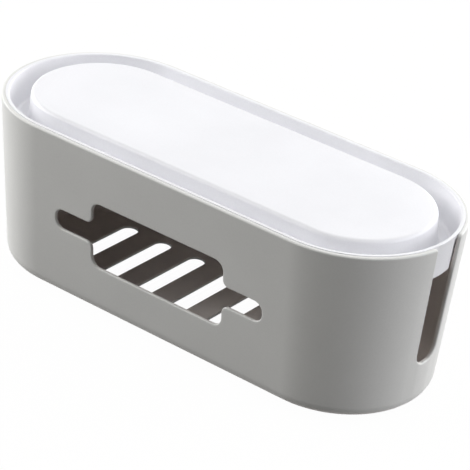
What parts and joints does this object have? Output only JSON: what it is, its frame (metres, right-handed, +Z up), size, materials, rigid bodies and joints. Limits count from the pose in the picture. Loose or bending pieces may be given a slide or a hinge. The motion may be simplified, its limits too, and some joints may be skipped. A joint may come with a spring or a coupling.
{
  "type": "cable management box",
  "caption": "Long desk box with round ends that hides a power strip: front window, open cord notch at one end, slotted floor, and a tray-shaped lift-off lid with a channel round its centre.",
  "frame": {"origin": "centre of the box's footprint, at the level of the table it stands on", "axes": "+X along the box towards the cord notch, -Y is the side with the window, +Z up"},
  "size_m": [0.3187, 0.1298, 0.1142],
  "materials": {
    "box": "fine satin",
    "lid": "smooth satin",
    "feet": "matt"
  },
  "bodies": {
    "box": {"box_body": "box", "foot_front_left": "feet", "foot_front_right": "feet", "foot_back_left": "feet", "foot_back_right": "feet"},
    "lid": {"lid": "lid"}
  },
  "joints": [
    {"name": "lid_lift", "type": "slide", "parent": "box", "child": "lid", "axis": [0, 0, 1], "range_m": [0, 0.06]}
  ]
}
